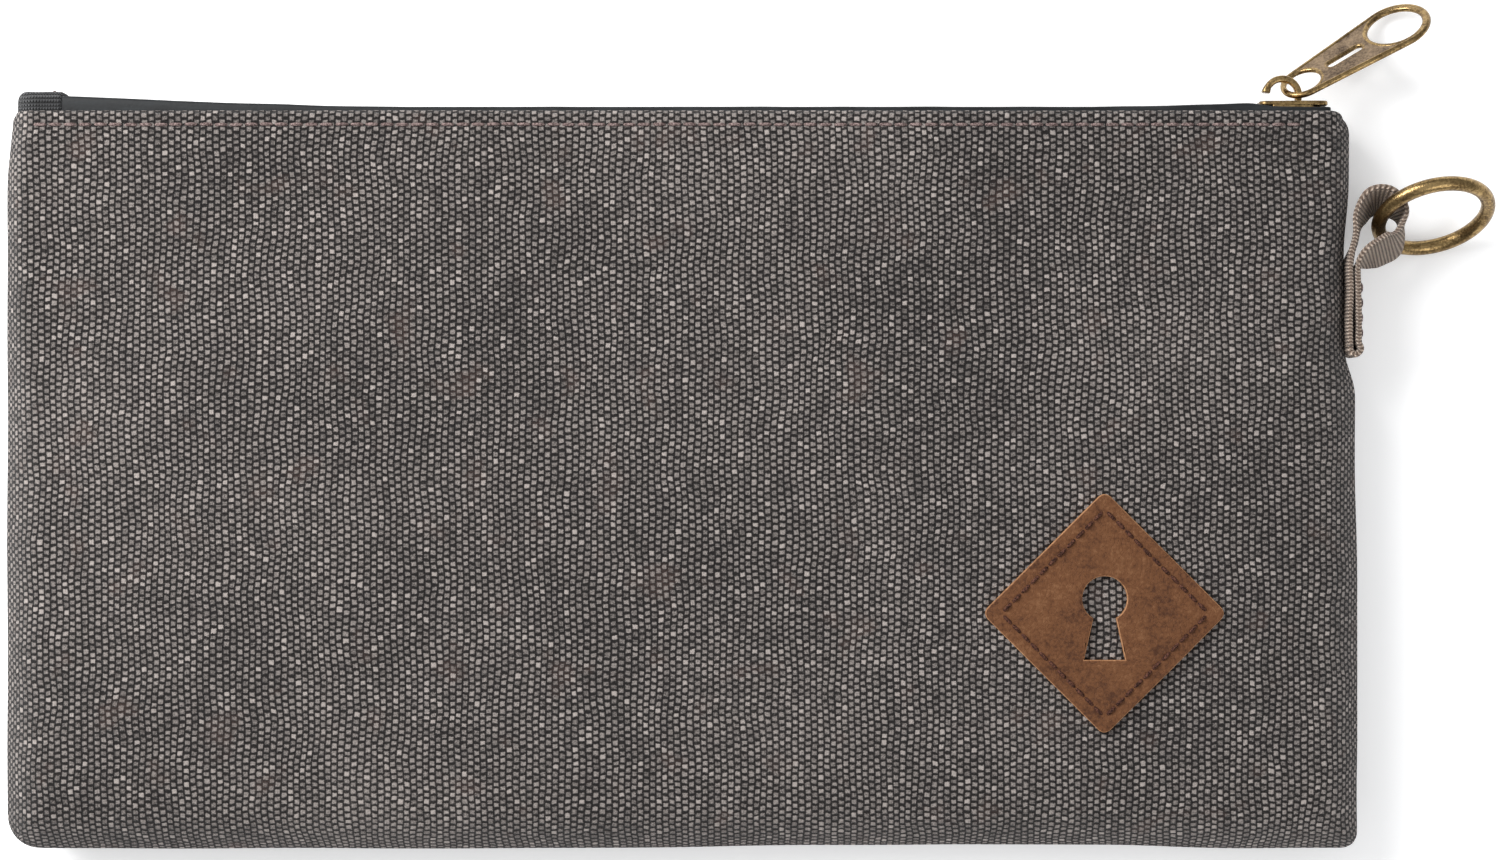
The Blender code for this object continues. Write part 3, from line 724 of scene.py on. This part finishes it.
def add_end_tab():
    """Black webbing folded over the zip's left end and caught behind both hems."""
    left, right = LEFT + 2.7, TAB_HIGH.x
    bm = bmesh.new()
    grid, flat = [], []
    count = 16
    for i in range(count + 1):
        x = left + (right - left) * i / count
        outer = max(min(mouth_half(x) - 1.5, 6.0), 1.2) * (smooth((i + 0.25) / 1.6) if i < 2 else 1.0)
        crest = MOUTH + 3.55 - 0.9 * (1 - smooth((x - left) / 1.6)) + 0.12 * wander(x, 0, 2.4, 7.7)
        half = [(outer, MOUTH - 6.0), (outer, MOUTH - 1.0), (outer + 0.15, MOUTH + 1.2)]
        half += [(outer + 0.05, crest - 0.9), (outer - 0.45, crest - 0.1)]
        half += [(outer * 0.55, crest), (0.0, crest)]
        section = half + [(-z, y) for z, y in half[-2::-1]]
        line, run = [], 0.0
        for k, (z, y) in enumerate(section):
            if k:
                run += math.dist((z, y), section[k - 1])
            line.append(bm.verts.new((x, y, ZIP_Z + z)))
            flat.append((run, x - left, 0.0))
        grid.append(line)
    for near, far in zip(grid, grid[1:]):
        for k in range(len(near) - 1):
            bm.faces.new((near[k], far[k], far[k + 1], near[k + 1]))
    mesh = mesh_from(bm, "end_tab")
    set_weave(mesh, flat)
    tab = new_object("zip_end_tab", mesh, BLACK_WEBBING)
    thicken(tab, 1.0, offset=0.0)
    subdivide(tab, 2)
    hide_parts("zipper_end_tab")
    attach(tab, "bag")
    spots = [
        (Vector((right - 1.8, MOUTH + 3.82, ZIP_Z + z)), Vector((0, 0, 1)), Vector((0, 1, 0)))
        for z in (-2.8, 0.0, 2.8)
    ]
    thread = stitches("end_tab_stitches", spots, 2.1, 0.26, GREY_THREAD)
    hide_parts("end_tab_thread")
    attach(thread, "bag")


# The patch


def patch_outline(side, radius):
    near = side / 2 - radius
    points = []
    for quarter, (x, y) in enumerate(((near, near), (-near, near), (-near, -near), (near, -near))):
        points += arc((x, y), radius, 90 * quarter, 90 * quarter + 90, 5)
    turn = math.sqrt(0.5)
    return [((x - y) * turn, (x + y) * turn) for x, y in points]


def flat_plate(name, outlines, thickness, grid=None):
    """A plate standing on z = 0, from its edge and any holes, cut by a grid if it is to bend."""
    curve = bpy.data.curves.new(name, "CURVE")
    curve.dimensions = "2D"
    curve.fill_mode = "BOTH"
    for points in outlines:
        spline = curve.splines.new("POLY")
        spline.points.add(len(points) - 1)
        for spot, (x, y) in zip(spline.points, points):
            spot.co = (x, y, 0.0, 1.0)
        spline.use_cyclic_u = True
    shape = bpy.data.objects.new(name, curve)
    bpy.context.scene.collection.objects.link(shape)
    bpy.context.view_layer.update()
    mesh = bpy.data.meshes.new_from_object(shape.evaluated_get(bpy.context.evaluated_depsgraph_get()))
    bpy.data.objects.remove(shape)
    bm = bmesh.new()
    bm.from_mesh(mesh)
    bmesh.ops.remove_doubles(bm, verts=bm.verts, dist=0.001)
    bmesh.ops.recalc_face_normals(bm, faces=bm.faces)
    for face in bm.faces:
        if face.normal.z < 0:
            face.normal_flip()
    bmesh.ops.dissolve_limit(bm, angle_limit=0.01, verts=bm.verts, edges=bm.edges)
    if grid:
        reach = max(max(abs(x), abs(y)) for x, y in outlines[0])
        for k in range(int(-reach / grid), int(reach / grid) + 1):
            for normal in ((1, 0, 0), (0, 1, 0)):
                bmesh.ops.bisect_plane(
                    bm,
                    geom=bm.verts[:] + bm.edges[:] + bm.faces[:],
                    plane_co=Vector(normal) * (k * grid + 0.013),
                    plane_no=normal,
                )
    top = bmesh.ops.extrude_face_region(bm, geom=bm.faces[:])
    raised = [v for v in top["geom"] if isinstance(v, bmesh.types.BMVert)]
    bmesh.ops.translate(bm, verts=raised, vec=(0, 0, thickness))
    bmesh.ops.recalc_face_normals(bm, faces=bm.faces)
    return bm


def keyhole():
    head = arc((0, 3.0), 4.6, -60, 240, 28)
    return head + [(-4.2, -9.5), (4.2, -9.5)]


def add_patch():
    """A waxed leather diamond that follows the cloth, with a keyhole window and a stitched edge."""
    cx, cy = ((PATCH_LOW + PATCH_HIGH) / 2).xy
    side = (PATCH_HIGH.x - PATCH_LOW.x) / math.sqrt(2) + 0.95
    thickness = PATCH_HIGH.z - PATCH_LOW.z
    bm = flat_plate("patch_plate", [patch_outline(side, 1.7), keyhole()], thickness, grid=2.0)
    rim = [e for e in bm.edges if len(e.link_faces) == 2 and e.calc_face_angle(0) > 1.0]
    upper = [e for e in rim if min(v.co.z for v in e.verts) > thickness / 2]
    bmesh.ops.bevel(bm, geom=upper, offset=0.35, segments=3, affect="EDGES", profile=0.6)
    bm.normal_update()
    for face in bm.faces:
        face.material_index = 1 if abs(face.normal.z) < 0.93 else 0
    groove = side / 2 - 2.75
    turn = math.sqrt(0.5)
    for vert in bm.verts:
        x, y, z = vert.co
        if z > thickness / 2:
            a, b = (x + y) * turn, (y - x) * turn
            line = min(abs(max(abs(a), abs(b)) - groove), 2.0)
            z -= 0.14 * math.exp(-((line / 0.6) ** 2))
        lie = pillow(cx + x - LEFT, cy + y - BOTTOM, True)
        vert.co = (cx + x, cy + y, ZIP_Z + lie + 0.12 + z)
    mesh = mesh_from(bm, "patch")
    mesh.set_sharp_from_angle(angle=math.radians(50))
    patch = new_object("patch_leather", mesh, [LEATHER, LEATHER_EDGE])
    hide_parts("leather_patch")
    open_with_mouth(patch)
    spots = []
    pitch = 2.62
    count = int(2 * groove / pitch)
    for k in range(4):
        direction = math.radians(45 + 90 * k)
        ahead = Vector((math.cos(direction), math.sin(direction), 0))
        outward = Vector((ahead.y, -ahead.x, 0))
        for i in range(count):
            place = outward * groove + ahead * ((i - (count - 1) / 2) * pitch)
            place += outward * 0.07 * wander(i * 1.7, k * 3.1, 1.3, 1.1)
            spots.append(surface_spot(cx + place.x, cy + place.y, thickness + 0.02, direction))
    thread = stitches("patch_stitches", spots, 2.45, 0.37, BROWN_THREAD)
    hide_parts("patch_thread")
    open_with_mouth(thread)


# The hanger and its ring


def ribbon(name, path, widths, half_width, half_thick, finish):
    """A loop of webbing lofted along a path, with rounded selvedges and its place when flat."""
    lobes = [(-1.0, 0.0), (-0.96, -0.75), (-0.86, -1.0), (-0.45, -1.0), (0.0, -1.0), (0.45, -1.0)]
    lobes += [(0.86, -1.0), (0.96, -0.75)]
    lobes += [(-a, -b) for a, b in lobes]
    bm = bmesh.new()
    rings, flat, run = [], [], 0.0
    count = len(path)
    for i, point in enumerate(path):
        after = path[(i + 1) % count]
        along = (after - path[i - 1]).normalized()
        width = (widths[i] - along * widths[i].dot(along)).normalized()
        out = along.cross(width)
        ring = []
        for a, b in lobes:
            wobble = 0.10 * wander(run + 3 * a, 7 * b, 2.4, 9.0)
            place = point + width * (a * half_width) + out * (b * half_thick + wobble)
            ring.append(bm.verts.new(place))
            flat.append((run, a * half_width, b * half_thick))
        rings.append(ring)
        run += (after - point).length
    for low, high in zip(rings, rings[1:] + rings[:1]):
        for k in range(len(lobes)):
            m = (k + 1) % len(lobes)
            bm.faces.new((low[k], low[m], high[m], high[k]))
    mesh = solid_from(bm, name)
    set_weave(mesh, flat)
    band = new_object(name, mesh, finish)
    subdivide(band)
    return band


def add_hanger():
    """Two layers of webbing sewn to the side, whose loop turns round the ring's wire."""
    inner = node_box("hanger_webbing")[0].x + 0.75
    outer = inner + 1.62
    foot = 26.9
    p = RING_PIVOT
    points = [(inner, foot + 1.2, 0), (inner - 0.1, 33, 0), (inner + 0.1, 39, 0), (inner + 0.1, 44.5, 0.1)]
    points += [(p.x - 4.9, p.y - 3.4, 0.6), (p.x - 4.0, p.y + 1.2, 1.0), (p.x - 1.7, p.y + 4.7, 1.0)]
    points += [(p.x + 2.0, p.y + 4.8, 1.0), (p.x + 4.6, p.y + 1.6, 1.0), (p.x + 3.9, p.y - 2.9, 1.0)]
    points += [(p.x + 0.6, p.y - 5.2, 0.95), (p.x - 2.4, p.y - 6.8, 0.7), (outer + 0.15, 43.6, 0.15)]
    points += [(outer, 39, 0), (outer + 0.15, 33, 0), (outer + 0.1, foot + 2.0, 0)]
    points += [(outer + 0.55, foot + 0.3, 0), (outer - 0.35, foot - 0.75, 0), (inner + 0.2, foot - 0.3, 0)]
    run = flow(points, 7)
    path = [Vector((q.x, q.y, ZIP_Z + (p.z - ZIP_Z) * q.z)) for q in run]
    widths = [Vector((0, 0, 1)).lerp(RING_TANGENT, min(max(q.z, 0.0), 1.0)) for q in run]
    band = ribbon("hanger_band", path, widths, 5.8, 0.70, TAN_WEBBING)
    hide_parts("hanger_webbing")
    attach(band, "bag")
    spots = []
    for i in range(4):
        for z in (-3.6, 3.6):
            place = Vector((outer + 0.78, 30.5 + i * 3.1, ZIP_Z + z))
            spots.append((place, Vector((0, 1, 0)), Vector((1, 0, 0))))
    thread = stitches("hanger_stitches", spots, 2.3, 0.25, GREY_THREAD)
    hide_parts("hanger_thread")
    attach(thread, "bag")


def add_ring():
    """A plain round wire bent into a ring."""
    low, high = node_box("hanger_ring")
    centre = (low + high) / 2
    along = (centre - RING_PIVOT).normalized()
    radius = (centre - RING_PIVOT).length
    wire = 1.52
    across = (RING_TANGENT - along * RING_TANGENT.dot(along)).normalized()
    path = []
    count = 96
    for i in range(count):
        angle = 2 * math.pi * i / count
        path.append(centre + radius * (math.cos(angle) * along + math.sin(angle) * across))
    bm = bmesh.new()
    tube(bm, path, wire, sides=24, closed=True)
    ring = new_object("ring_wire", solid_from(bm, "ring"), BRASS_RUBBED)
    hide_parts("hanger_ring")
    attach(ring, "ring")


# The slider and its puller


def add_slider():
    """The slider: a top plate with turned-down flanges, its post, and the plate inside."""
    low, high = SLIDER_LOW, SLIDER_HIGH
    centre = (low + high) / 2
    length, half = high.x - low.x, (high.z - low.z) / 2
    narrow, corner = half * 0.83, 1.5
    edge = arc((-length / 2 + corner, narrow - corner), corner, 180, 90, 8)
    edge += [(1.0, half)]
    edge += arc((length / 2 - corner, half - corner), corner, 90, 0, 8)
    outline = edge + [(x, -y) for x, y in reversed(edge)]
    turn = Matrix(((1, 0, 0), (0, 0, -1), (0, 1, 0))).to_4x4()
    parts = bmesh.new()
    for bottom, thickness in ((high.y - 1.0, 1.0), (low.y, 1.1)):
        plate = flat_plate("slider_plate", [outline], thickness)
        rims = [e for e in plate.edges if len(e.link_faces) == 2 and e.calc_face_angle(0) > 1.0]
        bmesh.ops.bevel(plate, geom=rims, offset=0.32, segments=3, affect="EDGES", profile=0.5)
        plate.transform(Matrix.Translation((centre.x, bottom + thickness, centre.z)) @ turn)
        temporary = bpy.data.meshes.new("slider_part")
        plate.to_mesh(temporary)
        plate.free()
        parts.from_mesh(temporary)
    gap_low, gap_high = low.y + 0.9, high.y - 0.9
    boxes = [((centre.x + 3.6, (gap_low + gap_high) / 2, centre.z), (4.6, gap_high - gap_low, 1.9))]
    for side in (1, -1):
        boxes.append(((centre.x - 0.2, high.y - 1.45, centre.z + side * (half - 0.62)), (8.4, 1.5, 0.9)))
        boxes.append(((centre.x - 0.2, low.y + 1.3, centre.z + side * (half - 1.1)), (8.8, 1.6, 0.9)))
    for middle, size in boxes:
        add_block(parts, middle, size, 0.28)
    slider = new_object("zip_slider", solid_from(parts, "slider"), BRASS_RUBBED)
    slider.data.set_sharp_from_angle(angle=math.radians(50))
    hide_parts("slider_body")
    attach(slider, "slider")


def add_bail():
    """A flat bar bent into an arch and thickened at its left end."""
    bm = bmesh.new()
    radius, start, end = 3.4, -20, 172
    path = arc((PULLER_AXIS.x, PULLER_AXIS.y), radius, start, end, 30)
    rings = []
    for i, (x, y) in enumerate(path):
        share = i / (len(path) - 1)
        angle = math.radians(start + (end - start) * share)
        out = Vector((math.cos(angle), math.sin(angle), 0))
        thick = 0.72 + 0.16 * smooth((share - 0.86) / 0.12)
        wide = 1.15 + 0.15 * smooth((share - 0.86) / 0.12)
        ring = []
        for k in range(16):
            turn = 2 * math.pi * k / 16
            a, b = math.cos(turn), math.sin(turn)
            a = math.copysign(abs(a) ** 0.55, a)
            b = math.copysign(abs(b) ** 0.55, b)
            ring.append(bm.verts.new(Vector((x, y, ZIP_Z + b * wide)) + out * (a * thick)))
        rings.append(ring)
    for low, high in zip(rings, rings[1:]):
        for k in range(16):
            m = (k + 1) % 16
            bm.faces.new((low[k], low[m], high[m], high[k]))
    bm.faces.new(rings[0][::-1])
    bm.faces.new(rings[-1])
    bail = new_object("zip_bail", solid_from(bm, "bail"), BRASS_RUBBED)
    soften(bail, 0.2)
    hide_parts("slider_bail")
    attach(bail, "slider")


PULLER_SPAN, PULLER_REACH = 22.9, 5.4
PULLER_END, PULLER_EYE, GRIP_END, GRIP_HOLE = 4.9, 3.75, 7.6, 5.9
PULLER_ANGLE, PULLER_DROOP, PULLER_LEAN = 31.0, 8.5, 54.0
SLOT_NEAR, SLOT_FAR = 7.2, 13.6


def puller_frame():
    """The puller's own axes and place at rest, matched to the CAD model's."""
    turn, droop, lean = (math.radians(a) for a in (PULLER_ANGLE, PULLER_DROOP, PULLER_LEAN))
    ahead = Vector((math.cos(turn), math.sin(turn), 0))
    up = Vector((0, 0, 1))
    along = math.cos(droop) * ahead - math.sin(droop) * up
    above = math.sin(droop) * ahead + math.cos(droop) * up
    face = math.cos(lean) * above + math.sin(lean) * above.cross(along)
    plane = Matrix((along, face.cross(along), face)).transposed().to_4x4()
    return Matrix.Translation(PULLER_AXIS + along * PULLER_REACH) @ plane


def puller_slot(radius):
    return arc((SLOT_FAR, 0), radius, -90, 90, 12) + arc((SLOT_NEAR, 0), radius, 90, 270, 12)


def puller_edge(inset):
    taper = math.degrees(math.asin((GRIP_END - PULLER_END) / PULLER_SPAN))
    edge = arc((PULLER_SPAN, 0), GRIP_END - inset, -90 - taper, 90 + taper, 36)
    return edge + arc((0, 0), PULLER_END - inset, 90 + taper, 270 - taper, 26)


def add_puller():
    """A thin plate with a speckled face and rounded rims round its edge and its holes."""
    eye = arc((0, 0), PULLER_EYE + 0.15, 0, 350, 35)
    grip = arc((PULLER_SPAN, 0), GRIP_HOLE + 0.15, 0, 352.5, 47)
    plate = flat_plate("puller_plate", [puller_edge(0.5), eye, grip, puller_slot(1.2)], 1.0)
    bmesh.ops.translate(plate, verts=plate.verts, vec=(0, 0, -0.5))
    for outline, radius in (
        (puller_edge(0.62), 0.66),
        (arc((0, 0), PULLER_EYE + 0.45, 0, 350, 35), 0.56),
        (arc((PULLER_SPAN, 0), GRIP_HOLE + 0.55, 0, 352.5, 47), 0.62),
        (puller_slot(1.45), 0.52),
    ):
        made = set(plate.faces)
        tube(plate, [Vector((x, y, 0)) for x, y in outline], radius, sides=14, closed=True)
        for face in set(plate.faces) - made:
            face.material_index = 1
    plate.transform(puller_frame())
    puller = new_object("zip_puller", solid_from(plate, "puller"), [BRASS, BRASS_RUBBED])
    puller.data.set_sharp_from_angle(angle=math.radians(45))
    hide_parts("puller")
    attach(puller, "puller")


# Camera, light and floor


def add_camera():
    """Straight down on the bag, with its body nearly filling the frame."""
    data = bpy.data.cameras.new("camera")
    data.lens = 100.0
    data.sensor_width = 36.0
    camera = bpy.data.objects.new("camera", data)
    bpy.context.scene.collection.objects.link(camera)
    centre_x, centre_y = 14.0, 10.5
    frame_width = 310.2
    distance = frame_width * data.lens / data.sensor_width
    camera.location = (centre_x * MM, centre_y * MM, (distance + ZIP_Z) * MM)
    bpy.context.scene.camera = camera


def add_light(name, place, aim, size, power):
    data = bpy.data.lights.new(name, "AREA")
    data.shape = "RECTANGLE"
    data.size, data.size_y = size
    data.energy = power
    light = bpy.data.objects.new(name, data)
    bpy.context.scene.collection.objects.link(light)
    light.location = place
    light.rotation_euler = (Vector(aim) - Vector(place)).to_track_quat("-Z", "Y").to_euler()


def add_stage():
    n = Nodes("floor")
    tone = n.noise(n.place(), 3.0)
    paper = n.finish(n.mix(tone, (0.93, 0.93, 0.93), (0.95, 0.95, 0.95)), 0.8, Specular_IOR_Level=0.1)
    n.shader.inputs["Emission Color"].default_value = (1.0, 1.0, 1.0, 1.0)
    n.shader.inputs["Emission Strength"].default_value = 0.27
    bm = bmesh.new()
    bmesh.ops.create_grid(bm, x_segments=1, y_segments=1, size=3000.0)
    mesh = mesh_from(bm, "floor")
    floor = bpy.data.objects.new("floor", mesh)
    floor.data.materials.append(paper)
    bpy.context.scene.collection.objects.link(floor)
    world = bpy.data.worlds.new("studio")
    world.use_nodes = True
    sky = world.node_tree
    backdrop = sky.nodes["Background"]
    backdrop.inputs["Color"].default_value = (0.97, 0.98, 1.0, 1.0)
    height = sky.nodes.new("ShaderNodeSeparateXYZ")
    sky.links.new(sky.nodes.new("ShaderNodeTexCoord").outputs["Generated"], height.inputs[0])
    fade = sky.nodes.new("ShaderNodeValToRGB")
    stops = fade.color_ramp.elements
    stops[0].position, stops[0].color = 0.06, (1.0, 1.0, 1.0, 1.0)
    stops[1].position, stops[1].color = 0.85, (0.70, 0.70, 0.70, 1.0)
    stops.new(0.20).color = (0.16, 0.16, 0.16, 1.0)
    sky.links.new(height.outputs["Z"], fade.inputs[0])
    sky.links.new(fade.outputs[0], backdrop.inputs["Strength"])
    bpy.context.scene.world = world
    bpy.context.scene.view_settings.view_transform = "Standard"
    add_light("key", (-0.60, 0.42, 0.62), (0, 0, 0), (0.6, 0.6), 12.0)
    add_light("fill", (0.75, -0.75, 1.0), (0, 0, 0), (0.8, 0.8), 4.0)


add_camera()
add_stage()
CLOTH = add_shell()
add_tapes()
add_coils()
add_end_tab()
add_hem_stitches()
add_patch()
add_hanger()
add_ring()
add_slider()
add_bail()
add_puller()
add_stops()
